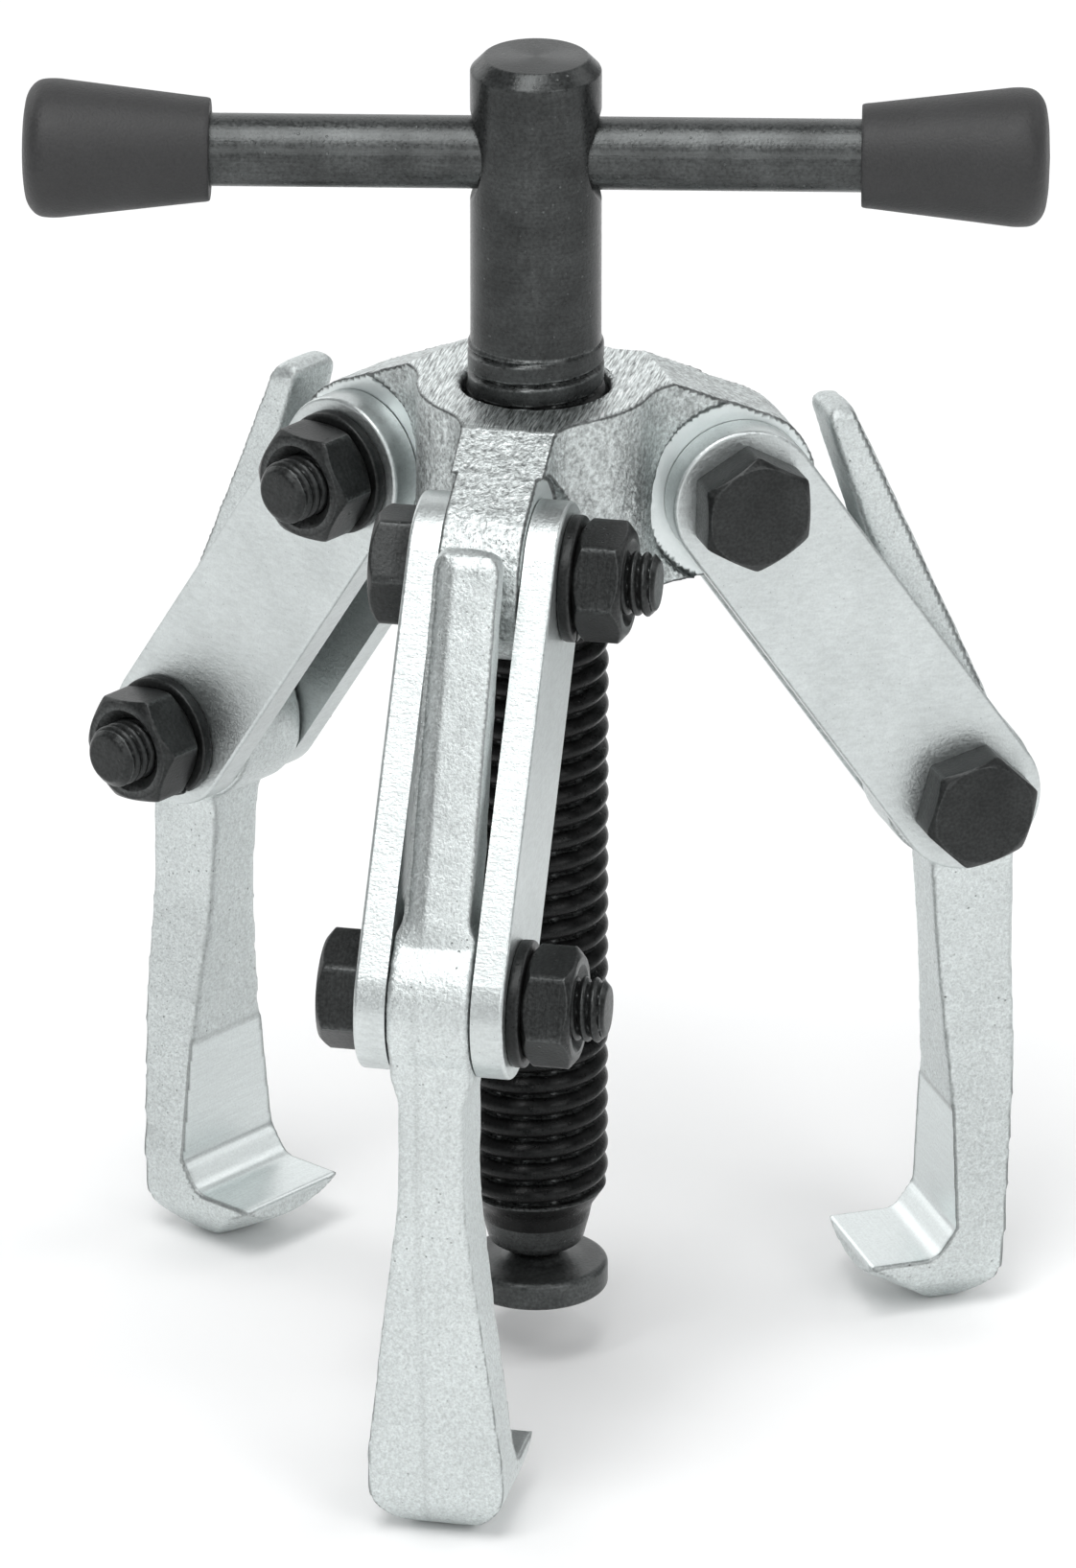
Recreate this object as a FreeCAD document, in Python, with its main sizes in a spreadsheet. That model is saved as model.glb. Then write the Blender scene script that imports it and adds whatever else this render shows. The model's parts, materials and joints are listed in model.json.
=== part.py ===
"""Three-arm gear puller, in millimetres.

The origin is the centre of the thrust pad's lower face, +Z runs up the spindle and the front arm
points along -Y.  Every arm piece is drawn in the arm's own plane (x outwards, z upwards, y round
the spindle) and turned about Z to its place.
"""

import FreeCAD, Part
import Sketcher
import math
import os
from FreeCAD import Placement, Rotation, Vector

os.makedirs("parts", exist_ok=True)
doc = FreeCAD.newDocument("gear_puller")

# ---------------------------------------------------------------- driving dimensions
DIMENSIONS = {
    # heights above the thrust face
    "pad_rim_top": 2.7,
    "ball_height": 2.8,
    "lower_pivot_height": 47.3,
    "upper_pivot_height": 80.4,
    "hub_bottom": 72.2,
    "hub_top": 92.2,
    "thread_start": 10.9,
    "thread_end": 96.6,
    "run_out_radius": 6.35,
    "bar_height": 114.9,
    "spindle_top": 124.4,
    # distances from the spindle axis
    "upper_pivot_reach": 18.4,
    "lower_pivot_reach": 40.9,
    "hub_radius": 11.2,
    # spindle and pad
    "thread_radius": 6.85,
    "thread_pitch": 2.25,
    "bridge_bore_radius": 6.93,
    "head_radius": 6.1,
    "neck_radius": 1.8,
    "ball_radius": 2.05,
    "socket_radius": 2.1,
    "pad_radius": 6.85,
    "bar_radius": 3.4,
    "bar_hole_radius": 3.48,
    "bar_span": 89.0,
    # bridge ears, links and legs
    "ear_thickness": 7.8,
    "ear_radius": 8.0,
    "web_thickness": 8.9,
    "spot_face_radius": 9.1,
    "link_gap": 8.0,
    "link_thickness": 3.0,
    "link_end_radius": 7.1,
    "boss_radius": 7.5,
    "boss_thickness": 7.8,
    "leg_breadth": 15.0,
    # M6 fasteners
    "bolt_radius": 3.0,
    "bolt_pitch": 1.0,
    "pivot_hole_radius": 3.06,
    "link_hole_radius": 3.05,
    "bolt_span": 22.5,
    "hex_across_flats": 10.0,
    "head_height": 4.0,
    "nut_height": 4.6,
    "washer_thickness": 1.2,
    "washer_outer_radius": 5.9,
}
sheet = doc.addObject("Spreadsheet::Sheet", "Dimensions")
for row, (alias, value) in enumerate(DIMENSIONS.items(), 1):
    sheet.set(f"A{row}", alias)
    sheet.set(f"B{row}", str(value))
    sheet.setAlias(f"B{row}", alias)
doc.recompute()
D = DIMENSIONS

ARMS = {"front": -90.0, "right": 30.0, "left": 150.0}
BAR_AZIMUTH = 10.4
PLAN, SIDE, FRONT = "XY_Plane", "XZ_Plane", "YZ_Plane"


# ---------------------------------------------------------------- helpers
def outline(corners):
    """Closed chain of lines and tangent arcs from corners (x, y, corner radius)."""
    joints, geometry = [], []
    for i, (x, y, radius) in enumerate(corners):
        here = Vector(x, y, 0)
        back = (Vector(*corners[i - 1][:2], 0) - here).normalize()
        ahead = (Vector(*corners[(i + 1) % len(corners)][:2], 0) - here).normalize()
        if not radius:
            joints.append((here, here))
            continue
        half = back.getAngle(ahead) / 2
        run = radius / math.tan(half)
        centre = here + (back + ahead).normalize() * (radius / math.sin(half))
        middle = centre + (here - centre).normalize() * radius
        joints.append((here + back * run, here + ahead * run))
        geometry.append(Part.Arc(joints[-1][0], middle, joints[-1][1]))
    for (_, leave), (reach, _) in zip(joints, joints[1:] + joints[:1]):
        geometry.append(Part.LineSegment(leave, reach))
    return geometry


def circle(x, y, radius):
    return Part.Circle(Vector(x, y, 0), Vector(0, 0, 1), radius)


def hexagon():
    corner = D["hex_across_flats"] / math.sqrt(3)
    angles = [math.radians(60 * k) for k in range(6)]
    return outline([(corner * math.cos(a), corner * math.sin(a), 0) for a in angles])


def new_body(label):
    body = doc.addObject("PartDesign::Body", label)
    body.Label = label
    return body


def sketch(body, plane, geometry, offset=0.0, radius_of=None, tilt=0.0):
    """Sketch on one of the body's origin planes, tilted by degrees about the sketch's own X.

    radius_of names the sheet cell of circle 0.
    """
    drawn = body.newObject("Sketcher::SketchObject", f"{body.Label}_sketch")
    support = next(f for f in body.Origin.OriginFeatures if f.Role == plane)
    drawn.AttachmentSupport = [(support, "")]
    drawn.MapMode = "FlatFace"
    drawn.AttachmentOffset = Placement(Vector(0, 0, offset), Rotation(Vector(1, 0, 0), tilt))
    drawn.addGeometry(geometry if isinstance(geometry, list) else [geometry], False)
    if radius_of:
        index = drawn.addConstraint(Sketcher.Constraint("Radius", 0, D[radius_of]))
        drawn.setExpression(f"Constraints[{index}]", f"Dimensions.{radius_of}")
    drawn.Visibility = False
    return drawn


def extrude(kind, body, profile, length=None, reverse=False, both=False):
    """Pad or Pocket; length is a sheet expression, or None for through everything."""
    feature = body.newObject(f"PartDesign::{kind}", f"{body.Label}_{kind.lower()}")
    feature.Profile = profile
    if length is None:
        feature.Type = "ThroughAll"
    else:
        feature.Length = 1.0
        feature.setExpression("Length", length)
    if both:
        feature.Midplane = True
    feature.Reversed = reverse
    return feature


def revolve(kind, body, profile, axis="V_Axis"):
    feature = body.newObject(f"PartDesign::{kind}", f"{body.Label}_{kind.lower()}")
    feature.Profile = profile
    feature.ReferenceAxis = (profile, [axis])
    feature.Angle = 360.0
    return feature


def thread(body, radius, pitch, start, length, depth):
    """Right-handed helical groove with rounded crests; pitch names a sheet cell."""
    half = D[pitch] / 2
    root, shoulder, outside = radius - depth, radius - 0.2 * depth, radius + 0.1
    lower_flank = [(outside, -0.97), (shoulder, -0.66), (root, -0.2)]
    upper_flank = [(x, -share) for x, share in reversed(lower_flank)]
    groove = outline([(x, start + share * half, 0) for x, share in lower_flank + upper_flank])
    profile = sketch(body, SIDE, groove)
    cut = body.newObject("PartDesign::SubtractiveHelix", f"{body.Label}_thread")
    cut.Profile = profile
    cut.ReferenceAxis = (profile, ["V_Axis"])
    cut.Mode = "pitch-height-angle"
    cut.setExpression("Pitch", f"Dimensions.{pitch}")
    cut.Height = length
    cut.LeftHanded = False
    body.Tip = cut
    return cut


def threefold(body, originals):
    """Repeat features at 120 degree steps round the body's own Z axis."""
    pattern = body.newObject("PartDesign::PolarPattern", f"{body.Label}_threefold")
    pattern.Originals = originals
    axis = next(f for f in body.Origin.OriginFeatures if f.Role == "Z_Axis")
    pattern.Axis = (axis, [""])
    pattern.Angle = 360.0
    pattern.Occurrences = 3
    body.Tip = pattern
    return pattern


def dress(kind, body, size, wanted):
    """Fillet or Chamfer on the edges of the tip for which wanted(edge) holds."""
    doc.recompute()
    base = body.Tip
    names = [f"Edge{i}" for i, e in enumerate(base.Shape.Edges, 1) if wanted(e)]
    feature = body.newObject(f"PartDesign::{kind}", f"{body.Label}_{kind.lower()}")
    feature.Base = (base, names)
    setattr(feature, "Radius" if kind == "Fillet" else "Size", size)
    return feature


def round_edge(edge, radius, z=None):
    curve = edge.Curve
    if not isinstance(curve, Part.Circle) or abs(curve.Radius - radius) > 1e-4:
        return False
    return z is None or abs(curve.Center.z - z) < 1e-4


# ---------------------------------------------------------------- bridge
def bridge_plan():
    """Hub circle with webs at 0, 120 and 240 degrees, their roots blended by arcs."""
    hub, web, blend, tip = D["hub_radius"], D["web_thickness"] / 2, 5.6, 30.0
    root = math.sqrt((hub + blend) ** 2 - (web + blend) ** 2)
    centre = Vector(root, web + blend, 0)
    on_hub = centre * (hub / (hub + blend))
    on_web = Vector(root, web, 0)
    middle = centre - (centre * (1 / centre.Length) + Vector(0, 1, 0)).normalize() * blend
    geometry = []
    for azimuth in (0, 120, 240):
        turn = Rotation(Vector(0, 0, 1), azimuth)
        mirror = lambda p: Vector(p.x, -p.y, 0)
        place = lambda p: turn.multVec(p)
        geometry += [
            Part.Arc(place(mirror(on_hub)), place(mirror(middle)), place(mirror(on_web))),
            Part.LineSegment(place(mirror(on_web)), place(Vector(tip, -web, 0))),
            Part.LineSegment(place(Vector(tip, -web, 0)), place(Vector(tip, web, 0))),
            Part.LineSegment(place(Vector(tip, web, 0)), place(on_web)),
            Part.Arc(place(on_web), place(middle), place(on_hub)),
        ]
        half_way = Rotation(Vector(0, 0, 1), 60).multVec(Vector(hub, 0, 0))
        next_hub = Rotation(Vector(0, 0, 1), 120).multVec(mirror(on_hub))
        geometry.append(Part.Arc(place(on_hub), place(half_way), place(next_hub)))
    return geometry


def make_bridge():
    body = new_body("bridge")
    plan = sketch(body, PLAN, bridge_plan(), offset=D["hub_bottom"])
    extrude("Pad", body, plan, "Dimensions.hub_top - Dimensions.hub_bottom")

    # Waste round the first ear's side shape: above the sloping top, round the end and under
    # the rising lower edge.
    reach, height, radius = D["upper_pivot_reach"], D["upper_pivot_height"], D["ear_radius"]
    slope, rise = 65.0, -75.0
    mean, half = math.radians((slope + rise) / 2), math.radians((slope - rise) / 2)
    apex = radius / math.cos(half)

    def on_tangent(angle, z):
        a = math.radians(angle)
        return reach + (radius - math.sin(a) * z) / math.cos(a), height + z

    waste = outline([
        (*on_tangent(slope, 14.0), 0),
        (reach + apex * math.cos(mean), height + apex * math.sin(mean), radius),
        (*on_tangent(rise, -10.5), 0),
        (55.0, height - 10.5, 0),
        (55.0, height + 14.0, 0),
    ])
    return body, waste


def ear_features(body, waste):
    """Ear contour, spot faces and pivot hole, cut in the XZ plane and repeated three times."""
    reach, height = D["upper_pivot_reach"], D["upper_pivot_height"]
    contour = extrude("Pocket", body, sketch(body, SIDE, waste), "20", both=True)
    cuts = [contour]
    for side in (-1, 1):
        disc = sketch(body, SIDE, circle(reach, height, D["spot_face_radius"]),
                      offset=side * D["ear_thickness"] / 2, radius_of="spot_face_radius")
        # The XZ plane's normal is -Y; a pocket cuts against its sketch normal.
        cuts.append(extrude("Pocket", body, disc, "5", reverse=side > 0))
    hole = sketch(body, SIDE, circle(reach, height, D["pivot_hole_radius"]),
                  radius_of="pivot_hole_radius")
    cuts.append(extrude("Pocket", body, hole, "20", both=True))
    threefold(body, cuts)


def finish_bridge(body):
    """Plain bore that clears the thread, and the turn that brings the ears to ARMS."""
    bore = sketch(body, PLAN, circle(0, 0, D["bridge_bore_radius"]), offset=D["hub_bottom"],
                  radius_of="bridge_bore_radius")
    body.Tip = extrude("Pocket", body, bore, None, reverse=True)
    body.Tip = dress("Chamfer", body, 0.35, lambda e: round_edge(e, D["bridge_bore_radius"]))
    body.Placement = in_arm(ARMS["front"])


# ---------------------------------------------------------------- spindle, pad, bar and grips
def make_spindle():
    body = new_body("spindle")
    top, head, neck = D["spindle_top"], D["head_radius"], D["neck_radius"]
    thread_radius, run_out, hub_top = D["thread_radius"], D["run_out_radius"], D["hub_top"]
    ball, centre = D["ball_radius"], Vector(0, D["ball_height"], 0)
    rim = Vector(neck, centre.y + math.sqrt(ball ** 2 - neck ** 2), 0)
    low = centre - Vector(0, ball, 0)
    stem = [(neck, 3.8), (2.4, 3.8), (4.5, 4.9), (5.1, 7.2), (5.4, 8.7),
            (thread_radius, D["thread_start"]), (thread_radius, hub_top - 1.2),
            (run_out, hub_top - 0.2), (run_out, D["thread_end"] - 0.3),
            (head, D["thread_end"]), (head, top - 1.3), (head - 1.3, top), (0, top)]
    points = [rim] + [Vector(x, z, 0) for x, z in stem] + [low]
    profile = [Part.LineSegment(a, b) for a, b in zip(points, points[1:])]
    profile.append(Part.Arc(low, centre + Vector(ball, 0, 0), rim))
    revolve("Revolution", body, sketch(body, SIDE, profile))
    cross = sketch(body, FRONT, circle(0, D["bar_height"], D["bar_hole_radius"]),
                   radius_of="bar_hole_radius")
    body.Tip = extrude("Pocket", body, cross, "18", both=True)
    mouths = lambda e: (abs(e.BoundBox.Center.z - D["bar_height"]) < 0.1
                        and abs(e.BoundBox.Center.x) > 4.5 and e.BoundBox.YLength > 5)
    body.Tip = dress("Chamfer", body, 0.4, mouths)
    start = D["thread_start"] - 2.6
    thread(body, thread_radius, "thread_pitch", start,
           D["thread_end"] - 1.2 - start, 1.35)
    body.Placement = in_arm(BAR_AZIMUTH)
    return body


def make_pad():
    """Disc with a trumpet-shaped collar round a blind ball socket."""
    body = new_body("swivel_pad")
    rim, radius, socket = D["pad_rim_top"], D["pad_radius"], D["socket_radius"]
    collar_top, edge = 3.5, 0.3
    centre = Vector(0, D["ball_height"], 0)
    mouth = Vector(math.sqrt(socket ** 2 - (collar_top - centre.y) ** 2), collar_top, 0)
    low = centre - Vector(0, socket, 0)
    flare_start, flare_end = Vector(2.6, collar_top, 0), Vector(radius - edge, rim, 0)
    points = [flare_end, Vector(radius, rim - edge, 0), Vector(radius, edge, 0),
              Vector(radius - edge, 0, 0), Vector(0, 0, 0), low]
    profile = [Part.LineSegment(a, b) for a, b in zip(points, points[1:])]
    profile += [Part.Arc(low, centre + Vector(socket, 0, 0), mouth),
                Part.LineSegment(mouth, flare_start),
                Part.Arc(flare_start, Vector(4.0, rim + 0.2, 0), flare_end)]
    revolve("Revolution", body, sketch(body, SIDE, profile))
    return body


def lengthwise(x):
    """Placement that lays a body's own Z axis along the tommy bar, x from the spindle axis."""
    azimuth = Rotation(Vector(0, 0, 1), BAR_AZIMUTH)
    lay = Rotation(Vector(0, 1, 0), 90)
    at = azimuth.multVec(Vector(x, 0, 0)) + Vector(0, 0, D["bar_height"])
    return Placement(at, azimuth.multiply(lay))


def make_bar():
    body = new_body("tommy_bar")
    rod = sketch(body, PLAN, circle(0, 0, D["bar_radius"]), radius_of="bar_radius")
    extrude("Pad", body, rod, "Dimensions.bar_span", both=True)
    dress("Chamfer", body, 0.5, lambda e: round_edge(e, D["bar_radius"]))
    body.Placement = lengthwise(0)
    return body


def make_grip(label, side):
    """Conical grip: blind socket at its small end, domed large end."""
    body = new_body(label)
    span, small, large, socket = 17.4, 4.9, 6.55, 14.6
    bore = D["bar_radius"] + 0.02
    geometry = outline([
        (bore, 0, 0), (small - 0.1, 0, 0.4), (small + 0.05, 0.9, 0), (large, 14.4, 1.8),
        (large - 0.5, span - 1.0, 1.8), (3.4, span, 0), (0, span, 0), (0, socket, 0),
        (bore, socket, 0),
    ])
    revolve("Revolution", body, sketch(body, SIDE, geometry))
    start = D["bar_span"] / 2 - socket + 0.2
    body.Placement = lengthwise(side * start)
    if side < 0:
        flip = Placement(Vector(), Rotation(Vector(1, 0, 0), 180))
        body.Placement = body.Placement.multiply(flip)
    return body


# ---------------------------------------------------------------- arm pieces
def in_arm(azimuth, local=None):
    turn = Placement(Vector(), Rotation(Vector(0, 0, 1), azimuth))
    return turn.multiply(local) if local else turn


PIVOTS = {
    "upper": (D["upper_pivot_reach"], D["upper_pivot_height"]),
    "lower": (D["lower_pivot_reach"], D["lower_pivot_height"]),
}


def make_link(label, azimuth, side):
    """Flat bar with round ends between the two pivots; side +1 carries the nuts."""
    body = new_body(label)
    (ux, uz), (lx, lz) = PIVOTS["upper"], PIVOTS["lower"]
    radius = D["link_end_radius"]
    along = Vector(lx - ux, lz - uz, 0).normalize()
    across = Vector(-along.y, along.x, 0) * radius
    up, low = Vector(ux, uz, 0), Vector(lx, lz, 0)
    profile = [
        Part.LineSegment(up + across, low + across),
        Part.Arc(low + across, low + along * radius, low - across),
        Part.LineSegment(low - across, up - across),
        Part.Arc(up - across, up - along * radius, up + across),
    ]
    inner = D["link_gap"] / 2
    blank = sketch(body, SIDE, profile, offset=-side * inner)
    extrude("Pad", body, blank, "Dimensions.link_thickness", reverse=side > 0)
    for x, z in PIVOTS.values():
        hole = sketch(body, SIDE, circle(x, z, D["link_hole_radius"]),
                      radius_of="link_hole_radius")
        body.Tip = extrude("Pocket", body, hole, "18", both=True)
    outer = side * (inner + D["link_thickness"])
    body.Tip = dress("Fillet", body, 0.35, lambda e: abs(e.BoundBox.YMin - outer) < 1e-3
                     and abs(e.BoundBox.YMax - outer) < 1e-3
                     and not round_edge(e, D["link_hole_radius"]))
    body.Placement = in_arm(azimuth)
    return body


def make_leg(label, azimuth):
    """Bell crank: tail between the links, boss on the lower pivot, leg and hook below."""
    body = new_body(label)
    base = D["upper_pivot_height"]
    side_corners = [
        (27.5, 6.5, 1.1), (30.7, 6.5, 1.8), (44.5, -24.9, 7.0), (46.9, -37.6, 9.0),
        (46.9, -61.6, 45.0), (45.6, -77.5, 11.0), (44.9, -86.4, 5.0), (38.1, -86.4, 4.4),
        (31.7, -82.8, 0.6), (31.7, -80.7, 0.3), (38.2, -80.7, 1.8), (40.1, -78.0, 1.8),
        (40.1, -65.0, 34.0), (38.5, -42.2, 0), (37.2, -23.4, 7.0),
    ]
    crank = sketch(body, SIDE, outline([(x, base + z, r) for x, z, r in side_corners]))
    extrude("Pad", body, crank, "Dimensions.leg_breadth", both=True)

    half_breadths = [
        (3.1, 6.7, 1.8), (3.2, -24.6, 1.7), (3.9, -26.0, 0.6), (3.9, -39.0, 0.9),
        (3.1, -41.7, 1.7), (3.2, -51.9, 28.0), (6.4, -78.1, 11.0), (6.5, -83.0, 4.0),
        (2.6, -86.9, 4.0),
    ]
    right = [(y, base + z, r) for y, z, r in half_breadths]
    left = [(-y, z, r) for y, z, r in reversed(right)]
    frame = outline([(-10, base + 12, 0), (10, base + 12, 0), (10, base - 92, 0), (-10, base - 92, 0)])
    trim = sketch(body, FRONT, frame + outline(right + left))
    body.Tip = extrude("Pocket", body, trim, "140", both=True)

    # The sloping underside of the hook is rounded like a hull: deepest in the middle of its
    # breadth, and rising to a thin corner at each side of the tip.
    tip, heel = Vector(31.7, base - 82.8), Vector(38.1, base - 86.4)
    tilt = math.atan2(tip.y - heel.y, heel.x - tip.x)
    keel = math.sin(tilt) * heel.x + math.cos(tilt) * heel.y
    wide, rise = 8.0, 2.5
    hull = [Part.Arc(Vector(-wide, keel + rise, 0), Vector(0, keel, 0), Vector(wide, keel + rise, 0)),
            Part.LineSegment(Vector(wide, keel + rise, 0), Vector(wide, keel - 5, 0)),
            Part.LineSegment(Vector(wide, keel - 5, 0), Vector(-wide, keel - 5, 0)),
            Part.LineSegment(Vector(-wide, keel - 5, 0), Vector(-wide, keel + rise, 0))]
    under = sketch(body, FRONT, hull, tilt=math.degrees(tilt))
    body.Tip = extrude("Pocket", body, under, "140", both=True)

    x, z = PIVOTS["lower"]
    boss = sketch(body, SIDE, circle(x, z, D["boss_radius"]), radius_of="boss_radius")
    extrude("Pad", body, boss, "Dimensions.boss_thickness", both=True)
    hole = sketch(body, SIDE, circle(x, z, D["pivot_hole_radius"]), radius_of="pivot_hole_radius")
    body.Tip = extrude("Pocket", body, hole, "20", both=True)
    tail_edges = lambda e: (e.BoundBox.YMax * e.BoundBox.YMin > 1 and e.BoundBox.ZLength > 5
                            and e.BoundBox.ZMin > z + 7.4)
    body.Tip = dress("Fillet", body, 0.5, tail_edges)
    body.Placement = in_arm(azimuth)
    return body


# Along a bolt's own axis, zero is the middle of the arm and + is towards the nut.
STACK = D["link_gap"] / 2 + D["link_thickness"]
HEAD_TURN = {"front": (-5.0, 18.0), "right": (30.0, 45.0), "left": (12.0, 38.0)}
NUT_TURN = {"front": (8.0, 10.0), "right": (22.0, 3.0), "left": (0.0, 8.0)}


def on_pivot(azimuth, pivot, turn):
    """Placement that lays a body's own Z along the pivot axis, towards the nut side."""
    x, z = PIVOTS[pivot]
    lay = Rotation(Vector(1, 0, 0), -90).multiply(Rotation(Vector(0, 0, 1), turn))
    return in_arm(azimuth, Placement(Vector(x, 0, z), lay))


def corner_ring(z, up):
    """Section that bevels hexagon corners when it is turned off round the axis."""
    flat, tall = D["hex_across_flats"] / 2 - 0.1, 1.1
    return outline([(flat, z, 0), (flat + 1.7, z, 0),
                    (flat + 1.7, z - up * tall * 0.9, 0)])


def make_bolt(label, azimuth, pivot, turn):
    body = new_body(label)
    under = -STACK
    top = under - D["head_height"]
    head = sketch(body, PLAN, hexagon(), offset=under)
    extrude("Pad", body, head, "Dimensions.head_height", reverse=True)
    body.Tip = revolve("Groove", body, sketch(body, SIDE, corner_ring(top - 0.001, -1)))
    shank = sketch(body, PLAN, circle(0, 0, D["bolt_radius"]), offset=under,
                   radius_of="bolt_radius")
    extrude("Pad", body, shank, "Dimensions.bolt_span")
    tip = under + D["bolt_span"]
    body.Tip = dress("Chamfer", body, 0.7, lambda e: round_edge(e, D["bolt_radius"], tip))
    thread(body, D["bolt_radius"], "bolt_pitch", tip - 8.5, 9.0, 0.6)
    body.Placement = on_pivot(azimuth, pivot, turn)
    return body


def make_nut(label, azimuth, pivot, turn):
    body = new_body(label)
    seat = STACK + D["washer_thickness"]
    block = sketch(body, PLAN, hexagon(), offset=seat)
    extrude("Pad", body, block, "Dimensions.nut_height")
    for z, up in ((seat - 0.001, -1), (seat + D["nut_height"] + 0.001, 1)):
        body.Tip = revolve("Groove", body, sketch(body, SIDE, corner_ring(z, up)))
    bore = sketch(body, PLAN, circle(0, 0, D["link_hole_radius"]), offset=seat,
                  radius_of="link_hole_radius")
    body.Tip = extrude("Pocket", body, bore, None, reverse=True)
    body.Tip = dress("Chamfer", body, 0.45, lambda e: round_edge(e, D["link_hole_radius"]))
    body.Placement = on_pivot(azimuth, pivot, turn)
    return body


def make_washer(label, azimuth, pivot, turn):
    """Split spring washer, closed up flat."""
    body = new_body(label)
    rings = [circle(0, 0, D["washer_outer_radius"]), circle(0, 0, D["link_hole_radius"] + 0.1)]
    ring = sketch(body, PLAN, rings, offset=STACK, radius_of="washer_outer_radius")
    extrude("Pad", body, ring, "Dimensions.washer_thickness")
    slit = outline([(2.0, -0.7, 0), (7.5, 0.2, 0), (7.5, 1.0, 0), (2.0, 0.1, 0)])
    body.Tip = extrude("Pocket", body, sketch(body, PLAN, slit, offset=STACK), None, reverse=True)
    body.Placement = on_pivot(azimuth, pivot, turn)
    return body


# ---------------------------------------------------------------- build
pieces = []
bridge, ear_waste = make_bridge()
ear_features(bridge, ear_waste)
finish_bridge(bridge)
pieces.append(bridge)
pieces += [make_spindle(), make_pad(), make_bar()]
pieces += [make_grip("grip_left", -1), make_grip("grip_right", 1)]
for arm, azimuth in ARMS.items():
    pieces.append(make_link(f"{arm}_link_head_side", azimuth, -1))
    pieces.append(make_link(f"{arm}_link_nut_side", azimuth, 1))
    pieces.append(make_leg(f"{arm}_hook_leg", azimuth))
    for pivot, head_turn, nut_turn in zip(PIVOTS, HEAD_TURN[arm], NUT_TURN[arm]):
        pieces.append(make_bolt(f"{arm}_{pivot}_bolt", azimuth, pivot, head_turn))
        pieces.append(make_washer(f"{arm}_{pivot}_washer", azimuth, pivot, 60 + nut_turn))
        pieces.append(make_nut(f"{arm}_{pivot}_nut", azimuth, pivot, nut_turn))
doc.recompute()

for thing in doc.Objects:
    if {"Invalid", "Error"} & set(thing.State):
        raise RuntimeError(f"{thing.Label}: {thing.State}")
for piece in pieces:
    if piece.Shape.isNull() or not piece.Shape.isValid() or len(piece.Shape.Solids) != 1:
        raise RuntimeError(f"{piece.Label}: bad shape, {len(piece.Shape.Solids)} solids")
for piece in pieces:
    piece.Shape.exportStep(f"parts/{piece.Label}.step")
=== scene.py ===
"""Looks of the three-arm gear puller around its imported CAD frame, in metres.

Pieces are drawn in millimetres in their own frames and placed by the frame's joints and boxes.
Forged pieces are evenly meshed copies of the CAD solids; turned and hexagonal ones are closed
grids of rings round an axis. The cross bar and the links keep their CAD meshes.
"""
import json
import math

import bmesh
import bpy
import numpy as np
from mathutils import Matrix, Vector, noise


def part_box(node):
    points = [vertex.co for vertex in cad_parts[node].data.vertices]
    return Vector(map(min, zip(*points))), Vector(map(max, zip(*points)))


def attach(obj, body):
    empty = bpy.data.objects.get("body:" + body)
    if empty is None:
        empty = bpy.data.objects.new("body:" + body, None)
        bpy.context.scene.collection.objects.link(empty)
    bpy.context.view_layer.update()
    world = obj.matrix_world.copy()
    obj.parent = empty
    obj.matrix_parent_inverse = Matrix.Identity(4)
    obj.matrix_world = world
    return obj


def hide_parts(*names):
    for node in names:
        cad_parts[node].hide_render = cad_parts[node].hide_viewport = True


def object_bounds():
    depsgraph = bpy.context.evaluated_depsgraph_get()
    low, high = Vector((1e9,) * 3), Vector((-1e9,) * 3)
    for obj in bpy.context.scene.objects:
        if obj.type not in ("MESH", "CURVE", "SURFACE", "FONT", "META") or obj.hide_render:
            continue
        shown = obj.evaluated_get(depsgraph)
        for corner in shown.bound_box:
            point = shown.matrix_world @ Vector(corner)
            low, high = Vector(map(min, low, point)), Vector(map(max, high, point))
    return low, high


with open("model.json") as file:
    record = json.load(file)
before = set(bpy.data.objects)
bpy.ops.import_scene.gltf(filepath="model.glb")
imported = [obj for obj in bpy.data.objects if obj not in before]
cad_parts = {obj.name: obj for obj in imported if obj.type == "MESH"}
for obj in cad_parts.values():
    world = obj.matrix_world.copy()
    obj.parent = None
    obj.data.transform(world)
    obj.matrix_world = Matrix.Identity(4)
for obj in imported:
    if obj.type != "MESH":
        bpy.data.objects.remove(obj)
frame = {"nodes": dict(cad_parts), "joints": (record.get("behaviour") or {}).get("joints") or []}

CAD_BOX = [list(corner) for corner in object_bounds()]
MM = 0.001
ARMS = ("front", "right", "left")
PIVOTS = {"upper": "arm_{}_swing", "lower": "leg_{}_pivot"}
JOINTS = {joint["name"]: joint for joint in frame["joints"]}
scene = bpy.context.scene


# ---------------------------------------------------------------- places read from the frame
def box_mm(node):
    low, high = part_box(node)
    return np.array(low) / MM, np.array(high) / MM


def arm_frame(arm):
    """Millimetres in an arm's own frame (x outwards, y round the spindle, z up) to metres."""
    out = Vector(JOINTS[PIVOTS["upper"].format(arm)]["pos_m"])
    out.z = 0
    out.normalize()
    round_spindle = Vector((-out.y, out.x, 0))
    axes = Matrix((out, round_spindle, (0, 0, 1))).transposed()
    return axes.to_4x4() @ Matrix.Scale(MM, 4)


def pivot_frame(arm, pivot):
    """Millimetres round a pivot bolt (z from the head to the nut, y down) to metres."""
    place = Vector(JOINTS[PIVOTS[pivot].format(arm)]["pos_m"]) / MM
    reach = math.hypot(place.x, place.y)
    lay = Matrix.Rotation(math.radians(-90), 4, "X")
    return arm_frame(arm) @ Matrix.Translation((reach, 0, place.z)) @ lay


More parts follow.
